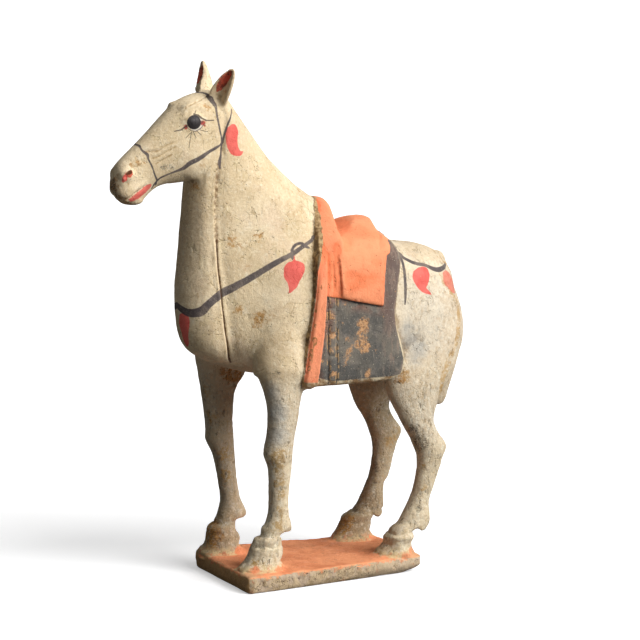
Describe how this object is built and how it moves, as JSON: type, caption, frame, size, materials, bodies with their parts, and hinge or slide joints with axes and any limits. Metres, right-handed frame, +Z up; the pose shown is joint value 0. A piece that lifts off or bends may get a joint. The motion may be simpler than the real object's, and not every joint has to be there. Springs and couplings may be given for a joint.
{
  "type": "pottery horse figure",
  "caption": "Moulded pottery tomb horse standing on a thin slab, saddled and bridled, with traces of slip and cold-painted colour.",
  "frame": {"origin": "on the flat underside of the slab, below the middle of the horse", "axes": "+Z up, the horse looks towards -Y, its left side is +X"},
  "size_m": [0.0903, 0.245, 0.3272],
  "materials": {
    "fired_clay": "matt unglazed earthenware with worn pale slip and cold-painted orange, red and grey-black"
  },
  "bodies": {
    "root": {"pottery_horse": "fired_clay"}
  },
  "joints": []
}
